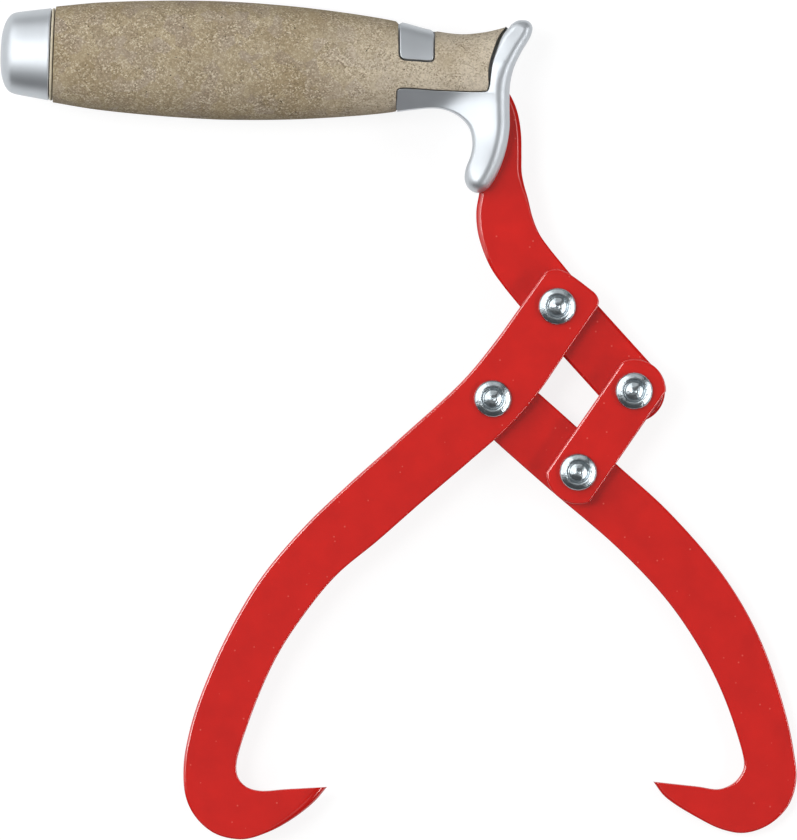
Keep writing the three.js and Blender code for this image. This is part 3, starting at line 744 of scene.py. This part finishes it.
cork_skin, cork_place = new_finish("pressed_cork")
bend = add(cork_skin, "TexNoise", {"Vector": cork_place, "Scale": METRE / granule_bend_size, "Detail": 3})
bent_place = add(cork_skin, "VectorMath", {
    0: bend["Color"], 1: [granule_bend] * 3, 2: cork_place,
}, operation="MULTIPLY_ADD")[0]
granules = add(cork_skin, "TexVoronoi", {"Vector": bent_place, "Scale": METRE / granule_size})
granule_tones = add(cork_skin, "SeparateColor", {0: granules["Color"]})
body_colour = add(cork_skin, "Mix", {
    0: granule_tones[0], 6: linear("#9c8d72"), 7: linear("#b1a286"),
}, data_type="RGBA")
grey_share = add(cork_skin, "MapRange", {
    "Value": granule_tones[1], "From Min": 0.5, "From Max": 0.9, "To Max": 0.45,
})
greyed = add(cork_skin, "Mix", {
    0: grey_share[0], 6: body_colour[2], 7: linear("#a0938a"),
}, data_type="RGBA")
along_grip = add(cork_skin, "SeparateXYZ", {0: cork_place})[0]
# Partly painted light: the neck is coloured paler for its sanding and to make up for the light its surface
# turns from
pale_share = add(cork_skin, "MapRange", {
    "Value": along_grip, "From Min": pale_start, "From Max": pale_end, "To Max": 0.85,
})
paled = add(cork_skin, "Mix", {
    0: pale_share[0], 6: greyed[2], 7: linear("#d4c8b5"),
}, data_type="RGBA")
drift = add(cork_skin, "TexNoise", {"Vector": bent_place, "Scale": METRE / drift_size, "Detail": 3})
drift_share = add(cork_skin, "MapRange", {
    "Value": drift[0], "From Min": 0.45, "From Max": 0.65, "To Max": 0.55,
})
drifted = add(cork_skin, "Mix", {
    0: drift_share[0], 6: paled[2], 7: linear("#9a8765"),
}, data_type="RGBA")
grain_noise = add(cork_skin, "TexNoise", {"Vector": cork_place, "Scale": METRE / grain_size, "Detail": 3})
grain_place = add(cork_skin, "VectorMath", {
    0: grain_noise["Color"], 1: [grain_bend] * 3, 2: cork_place,
}, operation="MULTIPLY_ADD")[0]
grains = add(cork_skin, "TexVoronoi", {"Vector": grain_place, "Scale": METRE / grain_size})
grain_tone = add(cork_skin, "SeparateColor", {0: grains["Color"]})[0]
patches = add(cork_skin, "TexNoise", {"Vector": bent_place, "Scale": METRE / rough_patch_size, "Detail": 1})
rough_share = add(cork_skin, "MapRange", {
    "Value": patches[0], "From Min": 0.3, "From Max": 0.65, "To Min": 0.3, "To Max": 0.8,
})
fleck_share = add(cork_skin, "MapRange", {
    "Value": grain_tone, "From Min": 0.65, "From Max": 1, "To Max": rough_share[0],
})
flecked = add(cork_skin, "Mix", {
    0: fleck_share[0], 6: drifted[2], 7: linear("#ded3bb"),
}, data_type="RGBA")
shade_share = add(cork_skin, "MapRange", {
    "Value": grain_tone, "From Min": 0.5, "From Max": 0, "To Max": rough_share[0],
})
shaded = add(cork_skin, "Mix", {
    0: shade_share[0], 6: flecked[2], 7: linear("#766750"),
}, data_type="RGBA")
pits = add(cork_skin, "TexVoronoi", {"Vector": bent_place, "Scale": METRE / pit_spacing})
# Painted shade: the pits are coloured near black for the shade inside them
pit_shade_share = add(cork_skin, "MapRange", {
    "Value": pits["Distance"], "From Min": 0.04, "From Max": 0.09, "To Min": 0.95, "To Max": 0,
})
pit_shaded = add(cork_skin, "Mix", {
    0: pit_shade_share[0], 6: shaded[2], 7: linear("#2a2015"),
}, data_type="RGBA")
cork_bump = add(cork_skin, "Bump", {"Height": grain_noise[0], "Strength": 0.8, "Distance": 0.0004})
main_shader(cork_skin, {
    "Base Color": pit_shaded[2], "Normal": cork_bump[0],
    "Roughness": 0.8, "Specular IOR Level": 0.25,
})

cork_grip = put_together("cork_grip_body", cork_skin, cork_body)
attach(cork_grip, "handle")
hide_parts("cork_grip")

# Guard casting
# One aluminium casting, tumbled to a satin finish: a curved guard with a finger rest, a rest that
# runs on under the grip's neck, and a saddle pad let into the grip's back. A core inside the grip
# joins them, and the tang runs through it.
guard_depth = 12.6
guard_rounding = 4.4
guard_edge_drop = 4.6
# Round the guard from the parting line, over the horn, down the front, round the finger rest's
# tip, up its back and along under the rest: x and y shares, and the rounding's share
guard_shares = [
    (0.156, 0.26, 0.4), (0.2, 0.282, 0.5), (0.247, 0.286, 0.6), (0.287, 0.278, 0.7), (0.313, 0.247, 0.7),
    (0.306, 0.205, 0.7), (0.237, 0.111, 0.75), (0.178, 0.012, 0.85), (0.148, -0.093, 1), (0.144, -0.215, 1),
    (0.143, -0.355, 1), (0.107, -0.5, 1), (0.044, -0.623, 1), (-0.022, -0.695, 1), (-0.093, -0.714, 0.95),
    (-0.156, -0.689, 0.8), (-0.185, -0.64, 0.6), (-0.181, -0.582, 0.42), (-0.142, -0.495, 0.34),
    (-0.129, -0.425, 0.3), (-0.146, -0.346, 0.25), (-0.19, -0.294, 0.18), (-0.26, -0.252, 0.12),
    (-0.348, -0.226, 0.07), (-0.433, -0.22, 0.04), (-0.556, -0.228, 0.03), (-0.688, -0.2414, 0.03),
]
FRONT_POINTS = slice(3, 14)
# The face falls away behind a ridge that runs inside the front edge, at a slope that bends down
# further on, and on the horn it rises there instead: slopes, and the ridge's inset from the edge
face_slope = 0.24
face_bend = 0.005
horn_slope = -0.22
ridge_inset = 4
horn_turn_shares = (0.06, 0.24)
finger_shares = (-0.35, -0.714)
finger_depth_share = 0.82
ridge_softness = 2.5
horn_shares = (0.02, 0.286)
horn_depth_share = 0.74
# The rest under the neck is a shelf that starts near the grip's own surface and falls away below
# the parting line
rest_slope = 0.55
rest_sink = 0.7
rest_start = -7.3
rest_rise = 0.3
rest_blend = 2.4


guard_curve = curve_through(np.array(guard_shares) * [*guard_size, guard_rounding] + [*guard_point, 0])
front_edge = curve_through((np.array(guard_shares)[FRONT_POINTS, :2] * guard_size + guard_point)[::-1])


def casting_surface(points):
    """The casting's half depth. The guard tapers to the finger's tip and the horn, and is lower by
    (slope + bend d) d at a distance d behind its ridge, which is softened as (d + sqrt(d^2 + s^2)) / 2.
    It is blended with the rest's shelf by (a + b + sqrt((a - b)^2 + k^2)) / 2, less the rest's sink."""
    x, y = ((points - guard_point) / guard_size).T
    from_edge = np.interp(points[:, 1], front_edge[:, 1], front_edge[:, 0]) - points[:, 0]
    on_horn = smooth_step(y, *horn_turn_shares)
    on_finger = smooth_step(-y, -finger_shares[0], -finger_shares[1])
    guard = guard_depth * (1 - (1 - finger_depth_share) * on_finger)
    guard = guard * (1 - (1 - horn_depth_share) * smooth_step(y, *horn_shares))
    from_ridge = from_edge - ridge_inset
    behind = (from_ridge + np.sqrt(from_ridge**2 + ridge_softness**2)) / 2
    guard = guard - (face_slope + (horn_slope - face_slope) * on_horn + face_bend * behind) * behind
    along, up = along_and_up(points)
    seat = grip_surface(handle_point(along, np.full(len(along), rest_start)))
    rest = seat + rest_rise - rest_slope * np.maximum(rest_start - up, 0)
    return (guard + rest + np.sqrt((guard - rest) ** 2 + rest_blend**2)) / 2 - rest_sink


parting_rounding = 0.2
rounding_growth_shares = (0, 0.26)
beside_guard = (parting[:, 1] < guard_curve[0, 1]) & (grip_surface(parting) > 0)
parting_edge = parting[beside_guard]
parting_growth = smooth_step(parting_height[beside_guard], *rounding_growth_shares)[:, None]
parting_width = parting_rounding + (guard_curve[0, 2] - parting_rounding) * parting_growth
casting_rows = np.vstack([
    np.hstack([parting_edge, parting_width, parting_width]),
    np.column_stack([guard_curve, guard_curve[:, 2] / guard_rounding * guard_edge_drop]),
])
casting_loop = edge_loop(casting_rows[:, :2], casting_rows[:, 2], casting_rows[:, 3])
guard_body = two_faced([casting_loop], casting_surface, back_middle, lattice=0.7, rim_steps=8)

saddle_flatness = 0.4
saddle_line = within_grip(saddle_edge)
saddle_top = silhouette(grip_top, saddle_line[-1, 0], saddle_line[0, 0])
saddle_runs = [(saddle_line, cut_rounding, cut_rounding), (saddle_top, cut_rounding, cut_rounding)]


def saddle_surface(points):
    """The saddle's half depth: the grip's, drawn towards the grip's half depth at its axis by a share."""
    along = along_and_up(points)[0]
    axis_depth = grip_surface(handle_point(along, np.zeros(len(along))))
    return grip_surface(points) + saddle_flatness * (axis_depth - grip_surface(points))


saddle_body = two_faced([joined_runs(saddle_runs)], saddle_surface, back_middle, lattice=0.8, rim_steps=8)

# The core, with steps that run on under the gaps round the saddle, the rest's end and the guard:
# corners in millimetres from the guard point
core_half_depth = 8
core_sink = 5
core_corners = [(-30, -7.7), (0, -7.7), (0, 5.3), (-30, 5.3)]
rest_step_corners = [(-31, -12.8), (-28.5, -12.8), (-28.5, -6), (-31, -6)]
saddle_step_corners = [(-30.3, 1), (-16.5, 1), (-16.5, 12), (-30.3, 15)]
guard_step_reach = 1.2
guard_step_start = -3


def core_surface(points):
    """The core's half depth, or the grip's less a sink where that is lower."""
    return np.minimum(core_half_depth, grip_surface(points) - core_sink)


above_step = parting[:, 1] > guard_point[1] + guard_step_start
step_line = parting[above_step & (grip_surface(parting) > core_sink)]
guard_step = np.vstack([
    sideways(step_line, guard_step_reach), sideways(step_line, -guard_step_reach)[::-1],
])
core_outlines = [guard_point + corners for corners in (core_corners, rest_step_corners, saddle_step_corners)]
core_bodies = [
    two_faced([edge_loop(outline, cut_rounding)], core_surface, back_middle, lattice=2)
    for outline in (*core_outlines, guard_step)
]

# Aluminium, cast and tumbled: a satin metal with a very fine grain and a faint unevenness
metal_patch_size = 6
metal_grain_size = 0.5

casting_metal, metal_place = new_finish("tumbled_cast_aluminium")
metal_tone = add(casting_metal, "TexNoise", {
    "Vector": metal_place, "Scale": METRE / metal_patch_size, "Detail": 4,
})
metal_colour = add(casting_metal, "Mix", {
    0: metal_tone[0], 6: linear("#c0c5ca"), 7: linear("#c9ced2"),
}, data_type="RGBA")
metal_grain = add(casting_metal, "TexNoise", {
    "Vector": metal_place, "Scale": METRE / metal_grain_size, "Detail": 2,
})
metal_bump = add(casting_metal, "Bump", {
    "Height": metal_grain[0], "Strength": 0.06, "Distance": 0.0001,
})
main_shader(casting_metal, {
    "Base Color": metal_colour[2], "Normal": metal_bump[0], "Metallic": 1, "Roughness": 0.5,
})

guard_casting = put_together("guard_casting_body", casting_metal, guard_body, saddle_body, *core_bodies)
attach(guard_casting, "handle")
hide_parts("guard_casting")

# Cap ring
# A thin oval ring of cream fibre between the grip's end and the cap. Only its edge shows. The
# washer lies inside it.
ring_thickness = 0.8
cap_step = 0.6
cap_half_height = grip_half_height[0] - cap_step
cap_half_depth = grip_half_depth[0] - cap_step
ring_place = -grip_length - fit_gap
washer_hole_radius = 8.3
OVAL_STEPS = 96


def oval(along, half_height, half_depth):
    """Superellipse rings square to the handle: each half axis times cos or sin to the power 2 / 2.3."""
    angle = all_round(OVAL_STEPS)
    up, through = (np.sign(v) * np.abs(v) ** (2 / ovalness) for v in (np.cos(angle), np.sin(angle)))
    along, half_height, half_depth = (np.asarray(v, float)[:, None] for v in (along, half_height, half_depth))
    return np.stack([along + 0 * angle, half_height * up, half_depth * through], axis=2)


def hollow(outer, inner):
    """A ring-shaped body: outer rows of points, then inner rows, joined round to the first again."""
    rings = np.concatenate([outer, inner])
    points, faces, normals = skin(np.concatenate([rings, rings[:1]]))
    kept = len(rings) * rings.shape[1]
    quads = [[corner % kept for corner in face] for face in faces if len(face) == 4]
    return points[:kept], quads, normals


ring_edge_shares = np.array([0, 0.12, 0.8, 0.92, 1])
ring_inset = np.array([0.15, 0, 0, 0.15, 0.3])
ring_along = ring_place - ring_edge_shares * ring_thickness
ring_outer = oval(ring_along, cap_half_height - ring_inset, cap_half_depth - ring_inset)
ring_hole = [(ring_place - ring_thickness, washer_hole_radius), (ring_place, washer_hole_radius)]
ring_inner = turned(ring_hole, OVAL_STEPS)

# Pressed fibre, cut to the oval: matt cream with a faint mottle
fibre_patch_size = 1.2
fibre, fibre_place = new_finish("cream_fibre")
fibre_tone = add(fibre, "TexNoise", {"Vector": fibre_place, "Scale": METRE / fibre_patch_size, "Detail": 3})
fibre_colour = add(fibre, "Mix", {
    0: fibre_tone[0], 6: linear("#bdb195"), 7: linear("#e2dac4"),
}, data_type="RGBA")
main_shader(fibre, {"Base Color": fibre_colour[2], "Roughness": 0.7})

cap_ring = put_together("cap_ring_disc", fibre, hollow(on_handle(ring_outer), on_handle(ring_inner)))
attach(cap_ring, "handle")
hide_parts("cap_ring")

# Tang washer and nut
# Plain steel, hidden by the cap: the washer bears on the grip's end and the nut clamps it all.
steel_patch_size = 2
steel, steel_place = new_finish("plain_steel")
steel_tone = add(steel, "TexNoise", {"Vector": steel_place, "Scale": METRE / steel_patch_size, "Detail": 3})
steel_colour = add(steel, "Mix", {
    0: steel_tone[0], 6: linear("#8f9397"), 7: linear("#a9adb0"),
}, data_type="RGBA")
main_shader(steel, {"Base Color": steel_colour[2], "Metallic": 1, "Roughness": 0.35})
for fastener in ("tang_washer", "tang_nut"):
    fastened = frame["nodes"][fastener]
    fastened.data.materials.clear()
    fastened.data.materials.append(steel)

# End cap
# A second aluminium casting of the same finish: an oval dome over the nut, pushed on the end of
# the grip against the ring.
cap_seat = -grip_length - ring_thickness - 2 * fit_gap
cap_length = 15.9
cap_shares = [
    (0, 1), (0.35, 0.945), (0.69, 0.885), (0.78, 0.85), (0.85, 0.78), (0.91, 0.67), (0.96, 0.5),
    (0.988, 0.3), (1, 0.02),
]
bore_radius = 9
bore_floor = -149.4
bore_chamfer_depth = 0.3
bore_chamfer = 0.1
floor_point = 0.2
rim_rounding = 0.4
RIM_POINTS = 5
cap_curve = curve_through(cap_shares, steps=6)[1:]
rim_angle = np.linspace(0, np.pi / 2, RIM_POINTS)
rim = np.column_stack([rim_rounding * (1 - np.sin(rim_angle)), -rim_rounding * (1 - np.cos(rim_angle))])
dome = oval(cap_seat - cap_curve[::-1, 0] * cap_length, cap_curve[::-1, 1] * cap_half_height,
            cap_curve[::-1, 1] * cap_half_depth)
lip = oval(cap_seat - rim[:, 0], cap_half_height + rim[:, 1], cap_half_depth + rim[:, 1])
bore = turned([
    (cap_seat, bore_radius), (cap_seat - bore_chamfer_depth, bore_radius - bore_chamfer),
    (bore_floor, bore_radius - bore_chamfer), (bore_floor - floor_point, floor_point),
], OVAL_STEPS)
end_cap = put_together("end_cap_dome", casting_metal, skin(on_handle(np.concatenate([dome, lip, bore]))))
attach(end_cap, "handle")
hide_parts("end_cap")

# Studio
# A pale floor, a soft key lamp to the left and near the camera's axis, a narrow strip at the right
# that draws the plates' edges, and broad dim walls on all sides, in front and below, which the
# metal reflects.
floor_size = 12
lit_grey = (0.3, 0.3, 0.3, 1)
faint_grey = (0.22, 0.22, 0.22, 1)
paper_glow = 0.84
studio_grey = (0.08, 0.08, 0.083, 1)
floor_points = [(x, y, 0) for x, y in [(-1, -1), (1, -1), (1, 1), (-1, 1)]]
floor_mesh = bpy.data.meshes.new("floor")
floor_mesh.from_pydata((np.array(floor_points) * floor_size / 2).tolist(), [], [(0, 1, 2, 3)])
floor = bpy.data.objects.new("floor", floor_mesh)
bpy.context.scene.collection.objects.link(floor)

# White paper: it lights the tongs as a mid grey, and the camera and the metal see it nearly white,
# with a fainter grey under its glow that still takes the shadow
paper = bpy.data.materials.new("white_paper")
paper.use_nodes = True
paper.node_tree.nodes.remove(paper.node_tree.nodes["Principled BSDF"])
rays = add(paper, "LightPath")
seen = add(paper, "Math", {0: rays["Is Camera Ray"], 1: rays["Is Glossy Ray"]}, operation="MAXIMUM")
seen = add(paper, "Math", {0: seen[0], 1: rays["Is Transmission Ray"]}, operation="MAXIMUM")
lit_paper = add(paper, "BsdfDiffuse", {"Color": lit_grey})
faint_paper = add(paper, "BsdfDiffuse", {"Color": faint_grey})
white_paper = add(paper, "Emission", {"Strength": paper_glow})
shown_paper = add(paper, "AddShader", {0: faint_paper[0], 1: white_paper[0]})
mixed_paper = add(paper, "MixShader", {
    0: seen[0], 1: lit_paper[0], 2: shown_paper[0],
})
fill_in(paper, paper.node_tree.nodes["Material Output"], {"Surface": mixed_paper[0]})
floor_mesh.materials.append(paper)


def soft_box(name, off_axis, azimuth, distance, across, around, radiance):
    """A flat lamp that faces the middle of the tongs. Its place is given in degrees off the camera's
    axis and round it, counterclockwise from the right. It is so many metres across, towards the
    axis, and so many around it. Its power is radiance times pi times its area."""
    lamp = bpy.data.lights.new(name, "AREA")
    lamp.shape = "RECTANGLE"
    lamp.size, lamp.size_y = across, around
    lamp.energy = radiance * np.pi * across * around
    holder = bpy.data.objects.new(name, lamp)
    bpy.context.scene.collection.objects.link(holder)
    off, turn = np.radians([off_axis, azimuth])
    away = np.array([np.sin(off) * np.cos(turn), np.sin(off) * np.sin(turn), np.cos(off)])
    beside = np.array([-np.sin(turn), np.cos(turn), 0])
    axes = tilt @ np.column_stack([np.cross(beside, away), beside, away])
    place = laid_down([*picture_middle, 0]) + axes[:, 2] * distance
    holder.matrix_world = Matrix.Translation(place) @ Matrix(axes).to_4x4()
    holder.visible_camera = False


soft_box("key_light", 24, 162, 1.3, 0.42, 0.55, 8.6)
soft_box("left_low_wall", 74, 165, 1.2, 0.35, 1.6, 1.2)
soft_box("left_wall", 55, 152, 1.2, 0.8, 1.6, 1.8)
soft_box("right_strip", 54, -15, 1.2, 0.12, 1.2, 9)
soft_box("right_wall", 60, 0, 1.2, 0.6, 1.3, 1.4)
soft_box("high_wall", 55, 90, 1.5, 0.8, 1.6, 0.7)
soft_box("front_wall", 0, 0, 1.8, 1.2, 1.2, 0.16)
soft_box("low_wall", 30, 262, 1.3, 0.3, 1.2, 0.4)

world = bpy.data.worlds.new("studio")
bpy.context.scene.world = world
world.use_nodes = True
world.node_tree.nodes["Background"].inputs["Color"].default_value = studio_grey
bpy.context.scene.view_settings.view_transform = "Standard"
